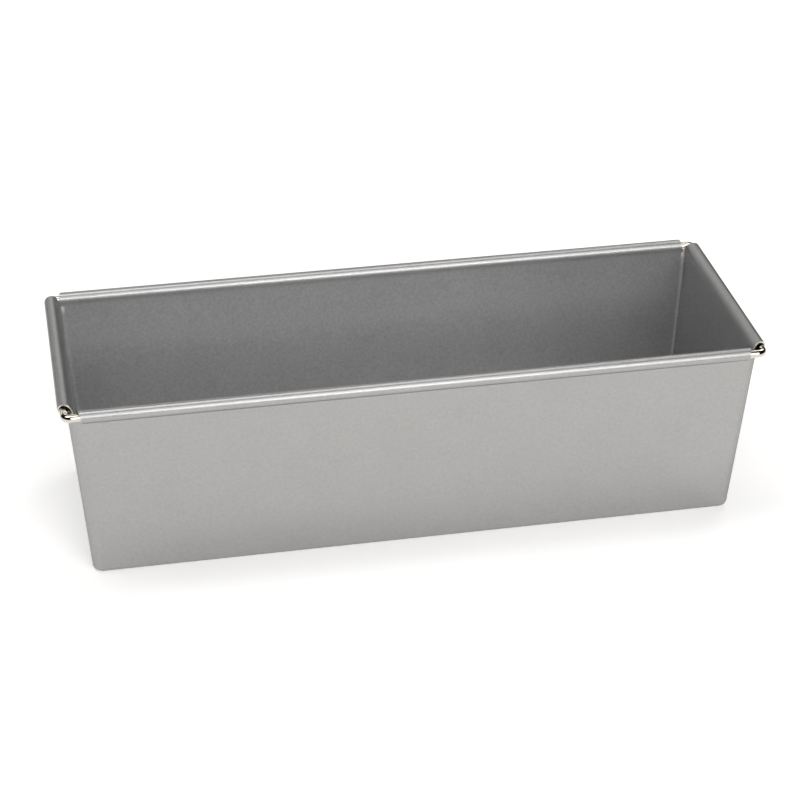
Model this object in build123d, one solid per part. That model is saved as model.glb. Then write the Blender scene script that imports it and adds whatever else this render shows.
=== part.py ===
from build123d import *
from math import acos, asin, atan, atan2, cos, degrees, hypot, pi, radians, sin, tan
import os

# A loaf pan folded from one blank of coated sheet steel. The four walls lean outwards, the
# spare metal of each upright corner is pressed flat against the end wall as a double pleat,
# and each wall's top is rolled outwards round one loop of wire, which shows at the corners.
# Millimetres. X runs along the pan, Y across it, Z is up. The origin is the middle of the
# base, on the surface that the pan stands on.

# Overall sizes, measured over the rolled rims
pan_length = 300.0
pan_width = 110.0
pan_height = 85.0
wall_lean = 4.1             # degrees from upright

# Sheet
sheet = 0.6                 # thickness
fold_gap = 0.55             # air left between two layers pressed together
corner_radius = 4.5         # outside of the upright corners
base_radius = 2.5           # outside of the bends round the base

# Pleats on the end walls
pleat_spacing = 8.0         # between the cut edges of an end's two pleats
pleat_seam = 2.4            # from the inner corner to the closed fold beside it
under_roll = 0.3            # air between the top of a pleat and the roll above it
end_set_in = 0.8            # how far the pleats push an end wall in from under its roll

# Rolled rims
long_roll_radius = 2.75     # outside, on the long walls
end_roll_radius = 2.85      # outside, on the end walls
lip_gap = 0.2               # air between a roll's lip and the wall, where the wall isn't set in

# How far each roll is cut off short of the pan's outermost edge, at either of its ends
front_left_stop = 8.0
front_right_stop = 8.5
back_left_stop = 7.0
back_right_stop = 8.5
left_front_stop = 9.5
left_back_stop = 4.5
right_front_stop = 7.5
right_back_stop = 6.5

# Rim wire
wire_diameter = 3.4
wire_bend = 2.8             # radius of its centre line at the corners
wire_rest = 0.15            # air under it in the long rolls, and outside it in the end rolls
wire_joint = 0.3            # between its two butted ends
wire_seat = 0.25            # air between it and the cut edge of a corner below it

overrun = 5.0               # how far a cutting shape passes what it cuts

lean = radians(wall_lean)
rim_wire_height = pan_height - 2 * long_roll_radius + sheet + wire_rest + wire_diameter / 2
corner_top = rim_wire_height - wire_diameter / 2 - wire_seat
pleat_top = pan_height - 2 * end_roll_radius - under_roll
pleat_stack = 3 * sheet + 2 * fold_gap
fold_radius = sheet + fold_gap / 2


def level(thickness):
    """The thickness of a leaning wall, measured level instead of square to it."""
    return thickness / cos(lean)


def inner_face(overall, roll_radius, height):
    """From the pan's middle to the plane of a wall's inner face that meets its roll on a tangent."""
    tangent_out = overall / 2 - roll_radius - roll_radius * cos(lean)
    tangent_height = pan_height - roll_radius + roll_radius * sin(lean)
    return tangent_out - (tangent_height - height) * tan(lean)


def end_inner(height):
    return inner_face(pan_length, end_roll_radius, height) - end_set_in


def side_inner(height):
    return inner_face(pan_width, long_roll_radius, height)


def leaning_block(end_extra, side_extra, radius, bottom, top, bottom_radius):
    """A block with leaning walls and round corners, so far outside the pan's inner faces."""
    sections = []
    for height in (bottom, top):
        length, width = 2 * (end_inner(height) + end_extra), 2 * (side_inner(height) + side_extra)
        sections.append(Plane.XY.offset(height) * RectangleRounded(length, width, radius))
    block = loft(sections, ruled=True)
    return fillet(block.edges().group_by(Axis.Z)[0], bottom_radius)


def between_ends(extra, bottom, bottom_radius):
    """A long wedge that fills the pan from end to end and passes it on both long sides."""
    top = pan_height + overrun
    low, high = end_inner(bottom) + extra, end_inner(top) + extra
    outline = make_face(Polyline((-low, bottom), (low, bottom), (high, top), (-high, top), close=True))
    outline = fillet(outline.vertices().group_by(Axis.Y)[0], bottom_radius)
    return extrude(Plane.XZ * outline, pan_width, both=True)


def end_plane(offset):
    """The right end wall's own plane: x across the pan, y up the slope, z outwards."""
    wall = Plane(origin=(end_inner(0), 0, 0), x_dir=(0, 1, 0), z_dir=(cos(lean), 0, -sin(lean)))
    return wall.offset(offset)


# The blank has a right angle to spare at each corner, less the lean of the two walls' edges.
# The pleat folds it in half, so its crease rises at this angle from upright.
edge_lean = atan(sin(lean))
crease_lean = (pi / 2 - 2 * edge_lean) / 2 - edge_lean


def crease_across(up_slope):
    """Where the crease of a pleat is, across the end wall, at a height up its slope."""
    return side_inner(0) - up_slope * tan(crease_lean)


def seam_across(up_slope):
    """Where the closed fold beside a corner is, across the end wall."""
    return side_inner(up_slope * cos(lean)) - pleat_seam


def end_relief():
    """What is cut away outside the right end wall, between and above its two pleats."""
    cut_edge = pleat_spacing / 2
    crease_top = (side_inner(0) - cut_edge) / tan(crease_lean)
    roll_reach = pan_width / 2 - left_back_stop + under_roll
    half = [
        (side_inner(0), -overrun),
        (side_inner(0), 0),
        (cut_edge, crease_top),
        (cut_edge, pleat_top / cos(lean)),
        (roll_reach, pleat_top / cos(lean)),
        (roll_reach, pan_height + overrun),
    ]
    outline = make_face(Polyline(*half, *[(-across, up) for across, up in reversed(half)], close=True))
    relief = extrude(end_plane(-base_radius) * outline, base_radius + pleat_stack + overrun)
    middle = end_plane(0) * Box(pleat_spacing, 4 * pan_height, 4 * overrun)
    crease = end_plane(sheet + fold_gap + fold_radius) * Location((side_inner(0), 0, 0))
    crease = crease * Rot(Z=degrees(crease_lean)) * Rot(X=-90) * Cylinder(fold_radius, 2 * pan_height)
    crease -= middle
    return relief - between_ends(level(sheet), 0, base_radius) - crease - mirror(crease, Plane.XZ)


def pleat_gaps():
    """The air between the right end wall and its back pleat, and between the pleat's layers."""
    top = (pan_height + overrun) / cos(lean)
    free_edge = pleat_spacing / 2 - overrun
    start = base_radius
    behind = Polyline(
        (seam_across(start), start),
        (seam_across(top), top),
        (free_edge, top),
        (free_edge, start),
        close=True,
    )
    meet = (pleat_seam / (tan(crease_lean) + sin(lean)))
    inside = Polyline(
        (crease_across(meet), meet),
        (seam_across(top), top),
        (free_edge, top),
        (free_edge, (side_inner(0) - free_edge) / tan(crease_lean)),
        close=True,
    )
    gap_behind = extrude(end_plane(sheet) * make_face(behind), fold_gap)
    gap_inside = extrude(end_plane(2 * sheet + fold_gap) * make_face(inside), fold_gap)
    return gap_behind + gap_inside


def rolled_rim(overall, roll_radius, foot, outwards, first, last):
    """A wall's top and its roll, from one cut end to the other. The strip rises from the wall's
    inner face at the corners' cut edges, and leans out to meet the roll on a tangent."""
    centre = (overall / 2 - roll_radius, pan_height - roll_radius)
    across, up = centre[0] - foot, centre[1] - corner_top
    strip_lean = atan2(across, up) - asin(roll_radius / hypot(across, up))
    lip = degrees(acos((lip_gap - roll_radius + sheet) / roll_radius)) + wall_lean
    start = 180 - degrees(strip_lean)
    outside = CenterArc(centre, roll_radius, start, -(start + lip))
    inside = CenterArc(centre, roll_radius - sheet, -lip, start + lip)
    outline = [
        outside,
        Line(outside @ 1, inside @ 0),
        inside,
        Line(inside @ 1, (foot + level(sheet), corner_top)),
        Line((foot + level(sheet), corner_top), (foot, corner_top)),
        Line((foot, corner_top), outside @ 0),
    ]
    across_rim = Plane(origin=(0, 0, 0), x_dir=outwards, z_dir=Vector(outwards).cross(Vector(0, 0, 1)))
    return extrude(across_rim.offset(first) * make_face(outline), last - first)


def make_pan_body():
    """The folded and rolled sheet."""
    pan = leaning_block(level(pleat_stack), level(sheet), corner_radius, 0, corner_top, base_radius)
    inner_radius = base_radius - sheet
    hollow = leaning_block(
        level(pleat_stack - sheet), 0, corner_radius - sheet, sheet, pan_height + overrun, inner_radius
    )
    pan -= hollow & between_ends(0, sheet, inner_radius)
    relief = end_relief()
    gaps = pleat_gaps()
    gaps += mirror(gaps, Plane.XZ)
    for cut in (relief, gaps):
        pan -= cut
        pan -= mirror(cut, Plane.YZ)
    half_length, half_width = pan_length / 2, pan_width / 2
    long_rim = (pan_width, long_roll_radius, side_inner(corner_top))
    end_rim = (pan_length, end_roll_radius, end_inner(corner_top))
    pan += rolled_rim(*long_rim, (0, -1, 0), front_right_stop - half_length, half_length - front_left_stop)
    pan += rolled_rim(*long_rim, (0, 1, 0), back_left_stop - half_length, half_length - back_right_stop)
    pan += rolled_rim(*end_rim, (1, 0, 0), right_back_stop - half_width, half_width - right_front_stop)
    pan += rolled_rim(*end_rim, (-1, 0, 0), left_front_stop - half_width, half_width - left_back_stop)
    return pan


def make_rim_wire():
    """One wire bent into a loop through the four rolls, with its two ends butted at the back."""
    x = pan_length / 2 - sheet - wire_rest - wire_diameter / 2
    y = pan_width / 2 - long_roll_radius
    path = FilletPolyline(
        (-wire_joint / 2, y, rim_wire_height),
        (-x, y, rim_wire_height),
        (-x, -y, rim_wire_height),
        (x, -y, rim_wire_height),
        (x, y, rim_wire_height),
        (wire_joint / 2, y, rim_wire_height),
        radius=wire_bend,
    )
    return sweep(Plane(origin=path @ 0, z_dir=path % 0) * Circle(wire_diameter / 2), path=path)


os.makedirs("parts", exist_ok=True)
for name, shape in (("pan_body", make_pan_body()), ("rim_wire", make_rim_wire())):
    export_step(shape, f"parts/{name}.step")
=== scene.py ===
from math import acos, atan, cos, pi, radians, sin, tan

import bmesh
import bpy
import numpy as np
from mathutils import Matrix, Vector


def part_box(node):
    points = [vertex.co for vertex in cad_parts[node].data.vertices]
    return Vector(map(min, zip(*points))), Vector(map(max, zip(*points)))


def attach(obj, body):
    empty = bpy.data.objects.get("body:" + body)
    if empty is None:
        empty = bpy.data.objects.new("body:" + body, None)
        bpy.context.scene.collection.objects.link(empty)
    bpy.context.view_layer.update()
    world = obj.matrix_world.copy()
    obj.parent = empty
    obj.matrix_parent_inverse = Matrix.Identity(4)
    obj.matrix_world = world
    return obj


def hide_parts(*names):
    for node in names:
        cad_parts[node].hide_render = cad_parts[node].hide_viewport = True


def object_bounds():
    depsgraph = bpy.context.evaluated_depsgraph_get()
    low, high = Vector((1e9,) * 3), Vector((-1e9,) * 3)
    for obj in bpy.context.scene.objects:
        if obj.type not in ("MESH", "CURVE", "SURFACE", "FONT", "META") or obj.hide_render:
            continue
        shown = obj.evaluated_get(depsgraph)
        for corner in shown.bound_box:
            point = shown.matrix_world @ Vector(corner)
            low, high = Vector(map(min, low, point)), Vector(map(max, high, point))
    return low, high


# A long loaf pan folded from coated sheet steel, its rims rolled round a bright wire.
# Metres. X runs along the pan, Y across it towards the back, Z is up.

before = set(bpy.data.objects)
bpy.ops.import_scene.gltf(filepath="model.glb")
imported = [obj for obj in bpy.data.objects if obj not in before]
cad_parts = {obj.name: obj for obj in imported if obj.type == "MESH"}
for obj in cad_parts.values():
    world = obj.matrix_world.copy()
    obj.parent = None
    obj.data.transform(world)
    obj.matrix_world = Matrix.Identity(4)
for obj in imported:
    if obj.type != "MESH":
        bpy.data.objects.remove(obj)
cad_box = [list(corner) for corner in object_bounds()]

# Sizes of the pan
pan_length = cad_box[1][0] - cad_box[0][0]
pan_width = cad_box[1][1] - cad_box[0][1]
pan_height = cad_box[1][2]
lean = radians(4.1)
sheet = 0.0006
fold_gap = 0.00055
corner_radius = 0.0045
base_radius = 0.0025
pleat_spacing = 0.008
under_roll = 0.0003
end_set_in = 0.0008
long_roll_radius = 0.00275
end_roll_radius = 0.00285
lip_gap = 0.0002
front_left_stop, front_right_stop = 0.008, 0.0085
back_left_stop, back_right_stop = 0.007, 0.0085
left_front_stop, left_back_stop = 0.0095, 0.0045
right_front_stop, right_back_stop = 0.0075, 0.0065
wire_bend = 0.0028
wire_joint = 0.0003
wire_seat = 0.00025

wire_low, wire_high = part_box("rim_wire")
wire_radius = (wire_high.z - wire_low.z) / 2
wire_height = (wire_high.z + wire_low.z) / 2
corner_top = wire_low.z - wire_seat
pleat_top = pan_height - 2 * end_roll_radius - under_roll
pleat_stack = 3 * sheet + 2 * fold_gap
fold_radius = sheet + fold_gap / 2

# The blank has a right angle to spare at each corner, less the lean of the two walls' edges. The
# pleat folds it in half, so its crease rises at this angle from upright.
edge_lean = atan(sin(lean))
crease_lean = (pi / 2 - 2 * edge_lean) / 2 - edge_lean

# From a roll's innermost point up to where its circle starts
roll_join = radians(38)
# How far a roll's end is cut back for each metre along its section
cut_slant = 0.2
# The inner seams: how far the corners dip in behind the end walls, and the seams' width
seam_depth = 0.0007
seam_gap = 0.0003
# How far the corners' tops bend out and up to the wire, how far below they start to, and how far
# along the walls the bend fades
flare_out = 0.0008
flare_up = 0.0016
flare_height = 0.004
flare_fade = 0.0015
# From the base's outline to the rectangle that closes its flat
flat_margin = 0.008

# Points across the sheet's outline, by stretch, and the power that crowds the long walls' points
# towards their corners
long_points, corner_points, pleat_points, fold_points, end_points = 12, 13, 12, 9, 8
crowding = 3
# Rows of outlines up the sheet, by stretch
bend_rows, crease_rows, trimmed_rows, corner_rows, inner_rows = 9, 26, 36, 4, 61
# Points along the rise and the circle of a roll's section, and sections along a roll
rise_points, circle_points, rim_sections = 16, 65, 40
# Rings round each bend of the wire, and points round a ring
bend_rings, ring_points = 25, 32

# Points closer than this are merged, and lengths are kept above the next before they are divided by
merge_distance = 1e-7
smallest = 1e-9
# Faces that turn by more than this meet in a sharp edge
sharp_angle = radians(30)

# Numbers of the folded sheet's materials
COATED, CUT = 0, 1


def mesh_object(name, points, faces, finish=None, inside=None):
    """A piece from its points and quads, with the number of each face's material, the share of the
    painted lighter inside tone at each point, and sharp edges between its faces that turn the most."""
    mesh = bpy.data.meshes.new(name)
    mesh.from_pydata(points.reshape(-1, 3), [], faces.tolist())
    if finish is not None:
        mesh.polygons.foreach_set("material_index", finish.astype(np.int32))
    # Painted light: each point's share of the lighter inside tone, which stands for the brighter light
    # inside the pan.
    if inside is not None:
        tone_layer = mesh.attributes.new("inside_painted_light", "FLOAT", "POINT")
        tone_layer.data.foreach_set("value", inside.astype(np.float32))
    tidy = bmesh.new()
    tidy.from_mesh(mesh)
    bmesh.ops.remove_doubles(tidy, verts=tidy.verts, dist=merge_distance)
    bmesh.ops.recalc_face_normals(tidy, faces=tidy.faces)
    tidy.to_mesh(mesh)
    tidy.free()
    mesh.shade_smooth()
    mesh.set_sharp_from_angle(angle=sharp_angle)
    piece = bpy.data.objects.new(name, mesh)
    bpy.context.scene.collection.objects.link(piece)
    return piece


def grid_faces(rows, columns):
    """Quads between the rows of a grid of points, whose columns run round a closed loop."""
    index = np.arange(rows * columns).reshape(rows, columns)
    index = np.concatenate([index, index[:, :1]], 1)
    return np.stack([index[:-1, :-1], index[:-1, 1:], index[1:, 1:], index[1:, :-1]], -1).reshape(-1, 4)


def inner_face(overall, roll_radius, height):
    """From the pan's middle to a wall's inner face, which leans out and meets its roll on a tangent."""
    tangent_out = overall / 2 - roll_radius - roll_radius * cos(lean)
    tangent_height = pan_height - roll_radius + roll_radius * sin(lean)
    return tangent_out - (tangent_height - height) * tan(lean)


def end_inner(height):
    """From the pan's middle to an end wall's inner face, which the pleats push in from under its roll."""
    return inner_face(pan_length, end_roll_radius, height) - end_set_in


def side_inner(height):
    """From the pan's middle to a long wall's inner face."""
    return inner_face(pan_width, long_roll_radius, height)


def whole_loop(across, back):
    """Mirrors a quarter of an outline, from the back's middle to the right end's middle, into a loop."""
    x = np.concatenate([across, across[:, -2::-1], -across[:, 1:], -across[:, -2:0:-1]], 1)
    y = np.concatenate([back, -back[:, -2::-1], -back[:, 1:], back[:, -2:0:-1]], 1)
    return x, y


def straight(start, end, count, crowd=1):
    """Points from one value to another, one row for each height, without the last. Above 1, crowd is
    the power that brings them closer together towards the end."""
    share = 1 - (1 - np.linspace(0, 1, count, endpoint=False)) ** crowd
    return start[:, None] + (end - start)[:, None] * share


def outer_outline(height, inset, folded):
    """The outside of the pan at each height: the long wall, the round corner, the flat of the pleat,
    the half circle of its fold, and back to the end wall. inset draws it all inwards round the base.
    folded is 1 where the pleat is and 0 above it, where only the corner is left. The pleat's edge
    follows the slanting crease, and runs straight up where it is trimmed."""
    a = end_inner(height) + pleat_stack / cos(lean) - inset
    b = side_inner(height) + sheet / cos(lean) - inset
    zero = np.zeros_like(a)
    radius = corner_radius - inset
    turn = np.linspace(pi / 2, 0, corner_points)
    half_turn = np.linspace(0, pi, fold_points)
    crease = side_inner(0) - height / cos(lean) * tan(crease_lean)
    trimmed = crease < pleat_spacing / 2
    reach = b - radius
    edge = np.where(folded > 0, np.minimum(np.maximum(crease, pleat_spacing / 2), reach), reach)
    bulge = np.where(trimmed | (folded == 0), 0, fold_radius) * np.clip(height / base_radius, 0, 1)
    fold_middle = a - fold_radius / cos(lean)
    end_wall = a - (pleat_stack - sheet) / cos(lean)
    x = [
        straight(zero, a - radius, long_points, crowding),
        (a - radius)[:, None] + radius[:, None] * np.cos(turn),
        straight(a, a, pleat_points)[:, 1:],
        fold_middle[:, None] + fold_radius / cos(lean) * np.cos(half_turn),
        straight(end_wall, end_wall, end_points),
        end_wall[:, None],
    ]
    y = [
        straight(b, b, long_points),
        (b - radius)[:, None] + radius[:, None] * np.sin(turn),
        straight(b - radius, edge, pleat_points)[:, 1:],
        edge[:, None] - bulge[:, None] * np.sin(half_turn),
        straight(edge, zero, end_points),
        zero[:, None],
    ]
    return whole_loop(np.concatenate(x, 1), np.concatenate(y, 1))


def inner_outline(height, inset, quarter):
    """The inside of the pan at each height, with so many points to a quarter: the long wall, the bend
    that dips behind the end wall's edge in a narrow seam, and the end wall."""
    a = end_inner(height) - inset
    b = side_inner(height) - inset
    radius = corner_radius - sheet - inset
    centre = a + inset + (pleat_stack - sheet) / cos(lean) - (corner_radius - sheet)
    share = np.linspace(0, 1, corner_points)
    turn = pi / 2 + (np.arccos((a + seam_depth - centre) / radius) - pi / 2)[:, None] * share
    rest = quarter - long_points - corner_points
    seam = b - radius + radius * np.sin(turn[:, -1]) - seam_gap
    x = [
        straight(np.zeros_like(a), centre, long_points, crowding),
        centre[:, None] + radius[:, None] * np.cos(turn),
        np.repeat(a[:, None], rest, 1),
    ]
    y = [
        straight(b, b, long_points),
        (b - radius)[:, None] + radius[:, None] * np.sin(turn),
        seam[:, None] * np.linspace(1, 0, rest),
    ]
    return whole_loop(np.concatenate(x, 1), np.concatenate(y, 1))


def base_bend(radius, floor):
    """Heights and insets up the bend between the base and a leaning wall, an arc that ends on the wall."""
    angle = np.linspace(-pi / 2, -lean, bend_rows)
    height = floor + radius + radius * np.sin(angle)
    inset = radius / cos(lean) + (height - floor - radius) * tan(lean) - radius * np.cos(angle)
    return height, inset


def flared(points):
    """Bends the top of each corner outwards and up to the rim wire: the shift runs out from the middle of
    the corner's curve, grows with the square of the height, and fades to nothing along the walls."""
    centre_x = end_inner(corner_top) + pleat_stack / cos(lean) - corner_radius
    centre_y = side_inner(corner_top) + sheet / cos(lean) - corner_radius
    past = np.abs(points[..., :2]) - np.array([centre_x, centre_y])
    fade = np.clip(past.min(-1) / flare_fade + 1, 0, 1)
    rise = np.clip((points[..., 2] - corner_top) / flare_height + 1, 0, 1)
    share = (fade * rise**2)[..., None]
    out = np.maximum(past, smallest)
    out = np.sign(points[..., :2]) * out / np.linalg.norm(out, axis=-1, keepdims=True)
    return points + share * np.concatenate([flare_out * out, np.full(share.shape, flare_up)], -1)


def flat_rows(outline):
    """Rows that close a flat of the base: its outline cut back to a rectangle, then the middle line
    that the rectangle's sides shrink to."""
    half = outline[:, :2].max(0) - flat_margin
    rectangle = np.clip(outline[:, :2], -half, half)
    middle = np.clip(rectangle, [half[1] - half[0], 0], [half[0] - half[1], 0])
    return np.stack([np.column_stack([row, outline[:, 2]]) for row in (rectangle, middle)])


def make_folded_sheet():
    """The base, walls, corners and pleats as one closed skin: rows of outlines run up the outside,
    over the cut edge and down the inside, and both flats of the base close towards the middle."""
    crease_top = (side_inner(0) - pleat_spacing / 2) / tan(crease_lean) * cos(lean)
    bend, bend_inset = base_bend(base_radius, 0)
    wall = np.linspace(bend[-1], crease_top, crease_rows)[1:]
    trimmed = np.linspace(crease_top + 10 * merge_distance, pleat_top, trimmed_rows)
    pleat = np.concatenate([bend, wall, trimmed])
    height = np.concatenate([pleat, np.linspace(pleat_top, corner_top, corner_rows)])
    inset = np.pad(bend_inset, (0, len(height) - bend_rows))
    folded = np.where(np.arange(len(height)) < len(pleat), 1, 0)
    x, y = outer_outline(height, inset, folded)
    outside = flared(np.stack([x, y, np.repeat(height[:, None], x.shape[1], 1)], -1))
    quarter = x.shape[1] // 4 + 1
    bend, bend_inset = base_bend(base_radius - sheet, sheet)
    height = np.concatenate([bend, np.linspace(bend[-1], corner_top, inner_rows)[1:]])[::-1]
    inset = np.pad(bend_inset, (0, len(height) - bend_rows))[::-1]
    x, y = inner_outline(height, inset, quarter)
    inside = flared(np.stack([x, y, np.repeat(height[:, None], x.shape[1], 1)], -1))
    outer = np.concatenate([flat_rows(outside[0])[::-1], outside])
    points = np.concatenate([outer, inside, flat_rows(inside[-1])])
    rows, columns = points.shape[:2]
    finish = np.full((rows - 1, columns), COATED)
    finish[len(outer) - 1, np.abs(outside[-1, :, 1]) > side_inner(corner_top) - corner_radius] = CUT
    # Painted light: the inner rows take the lighter tone that stands for the brighter light inside the pan.
    inside_painted_light = np.repeat(np.arange(rows) >= len(outer), columns)
    return mesh_object("folded_sheet", points, grid_faces(rows, columns), finish.ravel(), inside_painted_light)


def rolled_section(overall, roll_radius, foot):
    """A rim's section, out from the pan's middle and up: a strip as thick as the sheet. Its line rises
    from the wall's inner face, curves out by a cubic that starts along the wall and ends along the
    roll, and then follows the roll's circle round to the lip."""
    centre = np.array([overall / 2 - roll_radius, pan_height - roll_radius])
    lip = acos((lip_gap - roll_radius + sheet) / roll_radius) + lean
    angle = np.linspace(pi - roll_join, -lip, circle_points)
    circle = np.stack([np.cos(angle), np.sin(angle)], -1)
    start, end = np.array([foot, corner_top]), centre + roll_radius * circle[0]
    reach = np.linalg.norm(end - start)
    share = np.linspace(0, 1, rise_points + 1)[:-1, None]
    start_pull = start + reach / 3 * np.array([sin(lean), cos(lean)])
    end_pull = end - reach / 3 * np.array([sin(roll_join), cos(roll_join)])
    rise = (1 - share) ** 3 * start + 3 * (1 - share) ** 2 * share * start_pull
    rise += 3 * (1 - share) * share**2 * end_pull + share**3 * end
    along = np.gradient(np.concatenate([rise, end[None]]), axis=0)[:-1]
    along[0] = sin(lean), cos(lean)
    along /= np.linalg.norm(along, axis=1)[:, None]
    thick = rise + sheet * np.stack([along[:, 1], -along[:, 0]], -1)
    thick[0] = foot + sheet / cos(lean), corner_top
    outside = np.concatenate([rise, centre + roll_radius * circle])
    inside = np.concatenate([thick, centre + (roll_radius - sheet) * circle])
    return np.concatenate([outside, inside[::-1]])


def make_rolled_rim(name, overall, roll_radius, foot, direction, first, last):
    """A roll: its section carried straight along the rim, from one cut end to the other, where the
    strip's thickness closes it. The strip narrows towards its lip, so each end is cut back by a share
    of the distance along the section from the crest."""
    section = rolled_section(overall, roll_radius, foot)
    out, up = section[:, 0], section[:, 1]
    skin = section[: len(section) // 2]
    step = np.linalg.norm(np.diff(skin, axis=0), axis=1)
    passed = np.concatenate([[0], np.cumsum(step)])
    passed -= passed[skin[:, 1].argmax()]
    cut_back = cut_slant * np.concatenate([passed, passed[::-1]])
    share = np.linspace(0, 1, rim_sections)[:, None]
    along = first + cut_back + (last - first - 2 * cut_back) * share
    across_x, across_y = direction
    points = np.empty((len(along), len(out), 3))
    points[..., 0] = out * across_x + along * abs(across_y)
    points[..., 1] = out * across_y + along * abs(across_x)
    points[..., 2] = up
    count = len(out)
    strip = np.arange(count // 2 - 1)
    cap = np.stack([strip, strip + 1, count - 2 - strip, count - 1 - strip], -1)
    faces = np.concatenate([grid_faces(len(along), count), cap, cap + (len(along) - 1) * count])
    finish = np.full((len(along) - 1, count), COATED)
    finish[:, [count // 2 - 1, count - 1]] = CUT
    finish = np.concatenate([finish.ravel(), np.full(2 * len(cap), CUT)])
    # Painted light: the lighter inside tone fades out up the rise to the roll.
    inside_painted_light = np.zeros(points.shape[:2])
    inside_painted_light[:, :rise_points] = np.linspace(1, 0, rise_points)
    return mesh_object(name, points, faces, finish, inside_painted_light.ravel())


def make_rim_wire():
    """A round wire carried along a rectangle with round corners, in rings square to its path. Each of
    its butted ends closes in the middle."""
    x, y = wire_high.x - wire_radius, wire_high.y - wire_radius
    corners = [(-x, y, pi / 2, pi), (-x, -y, pi, 3 * pi / 2), (x, -y, -pi / 2, 0), (x, y, 0, pi / 2)]
    middle = [[-wire_joint / 2, y]]
    facing = [pi / 2]
    for corner_x, corner_y, start, end in corners:
        angle = np.linspace(start, end, bend_rings)
        corner = np.array([corner_x, corner_y])
        centre = corner - np.sign(corner) * wire_bend
        middle += list(centre + wire_bend * np.stack([np.cos(angle), np.sin(angle)], -1))
        facing += list(angle)
    middle = np.array(middle + [[wire_joint / 2, y]])
    facing = np.array(facing + [pi / 2])
    around = np.linspace(0, 2 * pi, ring_points, endpoint=False)
    out = wire_radius * np.cos(around)
    points = np.empty((len(middle), len(around), 3))
    points[..., 0] = middle[:, :1] + np.cos(facing)[:, None] * out
    points[..., 1] = middle[:, 1:] + np.sin(facing)[:, None] * out
    points[..., 2] = wire_height + wire_radius * np.sin(around)
    tip = [np.repeat(ring.mean(0)[None, None], len(around), 1) for ring in (points[0], points[-1])]
    points = np.concatenate([tip[0], points, tip[1]])
    return mesh_object("rim_wire_bright", points, grid_faces(len(points), ring_points))


def linear(hex_colour):
    """A colour written as sRGB hex, as the linear RGBA that shaders take."""
    channels = np.array([int(hex_colour[i : i + 2], 16) for i in (1, 3, 5)]) / 255
    low, high = channels / 12.92, ((channels + 0.055) / 1.055) ** 2.4
    return (*np.where(channels <= 0.04045, low, high), 1.0)


def add_node(tree, kind, settings=(), links=()):
    """Adds a node with its settings, by attribute or by its input's name or number, and its links."""
    node = tree.nodes.new(kind)
    for name, value in dict(settings).items():
        if isinstance(name, str) and hasattr(node, name):
            setattr(node, name, value)
        else:
            node.inputs[name].default_value = value
    for name, socket in dict(links).items():
        tree.links.new(socket, node.inputs[name])
    return node


def new_material(name):
    """A material with an empty node tree, and that tree."""
    material = bpy.data.materials.new(name)
    material.use_nodes = True
    material.node_tree.nodes.clear()
    return material, material.node_tree


# The coat's flakes are far finer than a millimetre: they are drawn as coarse as they need to show.
# The clouds are the slow changes of tone that spraying leaves.
flake_size = 0.0013
cloud_size = 0.02
cloud_share = 0.25
flake_relief = 0.0001
darkest_at, lightest_at = 0.3, 0.7
outside_tones = ("#A6A5A4", "#AEADAC")
# Painted light: the lighter inside tones stand for the brighter light inside the pan; the coat itself is the
# same.
inside_painted_light_tones = ("#C9C9C9", "#DCDCDC")


def coated_steel():
    """Non-stick coating on sheet steel, silver-grey with fine metal flake: sprayed and baked, so it is
    satin and faintly mottled, and its flakes lie at slightly different angles. At a glance they shine
    less than bare metal does, because a clear binder covers them. Inside the pan the same coat is
    painted lighter, as painted light for the brighter light that falls there."""
    material, tree = new_material("silver_non_stick_coating")
    place = add_node(tree, "ShaderNodeTexCoord").outputs["Object"]
    flake = add_node(tree, "ShaderNodeTexNoise", {"Scale": 1 / flake_size, "Detail": 1.0}, {"Vector": place})
    cloud = add_node(tree, "ShaderNodeTexNoise", {"Scale": 1 / cloud_size, "Detail": 3.0}, {"Vector": place})
    tone = add_node(
        tree,
        "ShaderNodeMix",
        {"data_type": "FLOAT", "Factor": cloud_share},
        {"A": flake.outputs["Fac"], "B": cloud.outputs["Fac"]},
    )
    coat_and_painted_light = []
    for colours in (outside_tones, inside_painted_light_tones):
        tone_layer = add_node(tree, "ShaderNodeValToRGB", {}, {"Fac": tone.outputs["Result"]})
        for end, position, colour in zip(tone_layer.color_ramp.elements, (darkest_at, lightest_at), colours):
            end.position = position
            end.color = linear(colour)
        coat_and_painted_light.append(tone_layer.outputs["Color"])
    # Painted light: where the mesh asks for it, the lighter inside tones take over.
    inside = add_node(tree, "ShaderNodeAttribute", {"attribute_name": "inside_painted_light"})
    colour = add_node(
        tree,
        "ShaderNodeMixRGB",
        {},
        {"Fac": inside.outputs["Fac"], "Color1": coat_and_painted_light[0], "Color2": coat_and_painted_light[1]},
    )
    bump = add_node(
        tree,
        "ShaderNodeBump",
        {"Strength": 0.15, "Distance": flake_relief},
        {"Height": flake.outputs["Fac"]},
    )
    shader = add_node(
        tree,
        "ShaderNodeBsdfPrincipled",
        {"Metallic": 1.0, "Roughness": 0.4, "Specular Tint": linear("#D0D0D0")},
        {"Base Color": colour.outputs["Color"], "Normal": bump.outputs["Normal"]},
    )
    add_node(tree, "ShaderNodeOutputMaterial", {}, {"Surface": shader.outputs["BSDF"]})
    return material


def nickel_wire():
    """Nickel-plated steel wire, drawn and polished: a bright, slightly warm mirror."""
    material, tree = new_material("polished_nickel_wire")
    shader = add_node(
        tree,
        "ShaderNodeBsdfPrincipled",
        {"Base Color": linear("#D2CCC1"), "Metallic": 1.0, "Roughness": 0.12},
    )
    add_node(tree, "ShaderNodeOutputMaterial", {}, {"Surface": shader.outputs["BSDF"]})
    return material


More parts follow.
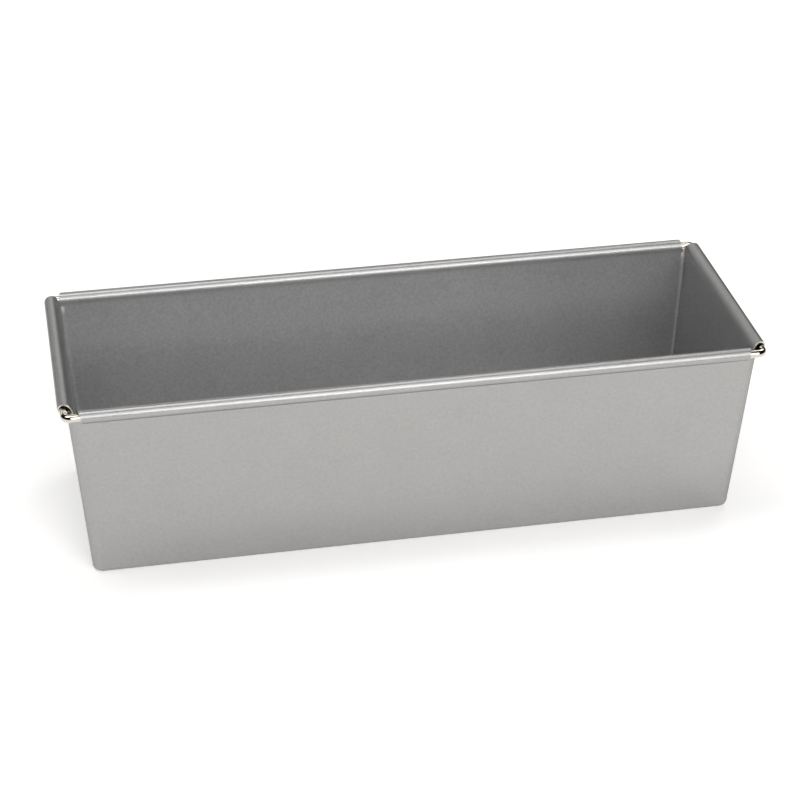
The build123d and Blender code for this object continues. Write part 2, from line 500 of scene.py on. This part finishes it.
def cut_steel():
    """Bare sheet steel where the blank was cut: bright and finely rough."""
    material, tree = new_material("bare_cut_steel")
    shader = add_node(
        tree,
        "ShaderNodeBsdfPrincipled",
        {"Base Color": linear("#DDD8CE"), "Metallic": 1.0, "Roughness": 0.35},
    )
    add_node(tree, "ShaderNodeOutputMaterial", {}, {"Surface": shader.outputs["BSDF"]})
    return material


def dress(piece, slot, node, *materials):
    """Gives a piece its materials and its body, and hides the CAD node it stands for. slot is not used."""
    for material in materials:
        piece.data.materials.append(material)
    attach(piece, "root")
    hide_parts(node)


finishes = (coated_steel(), cut_steel())
dress(make_folded_sheet(), "coated_steel", "pan_body", *finishes)
half_length, half_width = pan_length / 2, pan_width / 2
long_rim = (pan_width, long_roll_radius, side_inner(corner_top))
end_rim = (pan_length, end_roll_radius, end_inner(corner_top))
rims = [
    ("front_rim", *long_rim, (0, -1), front_left_stop - half_length, half_length - front_right_stop),
    ("back_rim", *long_rim, (0, 1), back_left_stop - half_length, half_length - back_right_stop),
    ("right_rim", *end_rim, (1, 0), right_front_stop - half_width, half_width - right_back_stop),
    ("left_rim", *end_rim, (-1, 0), left_front_stop - half_width, half_width - left_back_stop),
]
for rim in rims:
    dress(make_rolled_rim(*rim), "coated_steel", "pan_body", *finishes)
dress(make_rim_wire(), "bright_wire", "rim_wire", nickel_wire())

# The camera that fits the photograph, and how far its axis passes from the middle of the pan's base
camera_azimuth = radians(-10.893)
camera_elevation = radians(30.5)
camera_roll = radians(0.082)
camera_distance = 1.03305
camera_aim_right, camera_aim_up = 0.002438, 0.036483
photo_pixels = 810
focal_pixels = 2288.3

# The studio: what the table lacks of white, and the distances between which the rest is added too
lamp_distance = 1.6
floor_reach = 12.0
floor_lift = 0.4
near_floor, far_floor = 0.8, 2.5
studio_level = 0.01


def view_axes():
    """Right, up and back of the camera, with its roll."""
    away = Vector(
        (
            sin(camera_azimuth) * cos(camera_elevation),
            -cos(camera_azimuth) * cos(camera_elevation),
            sin(camera_elevation),
        )
    )
    right = Vector((0, 0, 1)).cross(away).normalized()
    up = away.cross(right)
    turned = right * cos(camera_roll) + up * sin(camera_roll)
    return turned, away.cross(turned), away


def make_camera():
    """The photograph's camera, straight back from a point near the pan's middle."""
    right, up, away = view_axes()
    camera = bpy.data.objects.new("camera", bpy.data.cameras.new("camera"))
    bpy.context.scene.collection.objects.link(camera)
    place = right * camera_aim_right + up * camera_aim_up + away * camera_distance
    turn = Matrix((right, up, away)).transposed().to_4x4()
    camera.matrix_world = Matrix.Translation(place) @ turn
    camera.data.lens = camera.data.sensor_width * focal_pixels / photo_pixels
    bpy.context.scene.camera = camera


def soft_box(name, azimuth, elevation, width, depth, watts):
    """A rectangular soft light that faces the pan: its direction is in degrees, round from the front
    and up from the table, and its sides are in metres."""
    light = bpy.data.lights.new(name, "AREA")
    light.shape = "RECTANGLE"
    light.size, light.size_y, light.energy = width, depth, watts
    lamp = bpy.data.objects.new(name, light)
    bpy.context.scene.collection.objects.link(lamp)
    turn, rise = radians(azimuth), radians(elevation)
    facing = Vector((sin(turn) * cos(rise), -cos(turn) * cos(rise), sin(rise)))
    lamp.location = facing * lamp_distance + Vector((0, 0, pan_height / 2))
    lamp.rotation_mode = "QUATERNION"
    lamp.rotation_quaternion = facing.to_track_quat("Z", "Y")


def make_floor():
    """A plain white table that keeps the pan's shadow. What it lacks of white is added where the camera,
    metal or glass sees it, and more of it far away where the camera does, so it sheds no more light on
    the pan."""
    mesh = bpy.data.meshes.new("floor")
    corners = [(-1, -1), (1, -1), (1, 1), (-1, 1)]
    mesh.from_pydata([(x * floor_reach, y * floor_reach, 0) for x, y in corners], [], [(0, 1, 2, 3)])
    floor = bpy.data.objects.new("floor", mesh)
    bpy.context.scene.collection.objects.link(floor)
    material, tree = new_material("white_table")
    path = add_node(tree, "ShaderNodeLightPath")
    mirrored = add_node(
        tree,
        "ShaderNodeMath",
        {"operation": "MAXIMUM"},
        {0: path.outputs["Is Glossy Ray"], 1: path.outputs["Is Transmission Ray"]},
    )
    seen = add_node(
        tree,
        "ShaderNodeMath",
        {"operation": "MAXIMUM"},
        {0: path.outputs["Is Camera Ray"], 1: mirrored.outputs[0]},
    )
    place = add_node(tree, "ShaderNodeTexCoord").outputs["Object"]
    distance = add_node(tree, "ShaderNodeVectorMath", {"operation": "LENGTH"}, {0: place})
    far = add_node(
        tree,
        "ShaderNodeMapRange",
        {"From Min": near_floor, "From Max": far_floor, "To Max": 1 - floor_lift},
        {"Value": distance.outputs["Value"]},
    )
    far_seen = add_node(
        tree,
        "ShaderNodeMath",
        {"operation": "MULTIPLY"},
        {0: far.outputs[0], 1: path.outputs["Is Camera Ray"]},
    )
    share = add_node(
        tree,
        "ShaderNodeMath",
        {"operation": "MULTIPLY_ADD", 1: floor_lift},
        {0: seen.outputs[0], 2: far_seen.outputs[0]},
    )
    diffuse = add_node(tree, "ShaderNodeBsdfDiffuse", {"Color": linear("#F4F3F1")})
    glow = add_node(tree, "ShaderNodeEmission", {"Color": linear("#FFFFFF")}, {"Strength": share.outputs[0]})
    both = add_node(tree, "ShaderNodeAddShader", {}, {0: diffuse.outputs[0], 1: glow.outputs[0]})
    add_node(tree, "ShaderNodeOutputMaterial", {}, {"Surface": both.outputs[0]})
    mesh.materials.append(material)


def make_world():
    """A nearly dark studio all round, and white where the camera looks past the table."""
    world = bpy.data.worlds.new("studio")
    bpy.context.scene.world = world
    world.use_nodes = True
    tree = world.node_tree
    tree.nodes.clear()
    path = add_node(tree, "ShaderNodeLightPath")
    level = add_node(
        tree,
        "ShaderNodeMapRange",
        {"To Min": studio_level, "To Max": 1.0},
        {"Value": path.outputs["Is Camera Ray"]},
    )
    sky = add_node(
        tree,
        "ShaderNodeBackground",
        {"Color": linear("#FFFFFF")},
        {"Strength": level.outputs[0]},
    )
    add_node(tree, "ShaderNodeOutputWorld", {}, {"Surface": sky.outputs[0]})


# Each soft light's name, direction round and up, width, depth and watts
soft_lights = [
    ("low_front_box", 9, 22, 1.0, 0.45, 9.5),
    ("front_box", 11, 48, 1.0, 0.6, 5.7),
    ("overhead_box", 180, 82, 1.2, 0.6, 7.5),
    ("high_left_box", 270, 65, 0.5, 0.8, 5.5),
    ("back_left_box", 202, 18, 1.7, 0.45, 2.7),
    ("back_box", 180, 35, 1.0, 0.6, 1.8),
    ("back_right_box", 135, 42, 0.8, 0.45, 3.7),
]

bpy.context.scene.view_settings.view_transform = "Standard"
make_camera()
make_floor()
make_world()
for soft_light in soft_lights:
    soft_box(*soft_light)
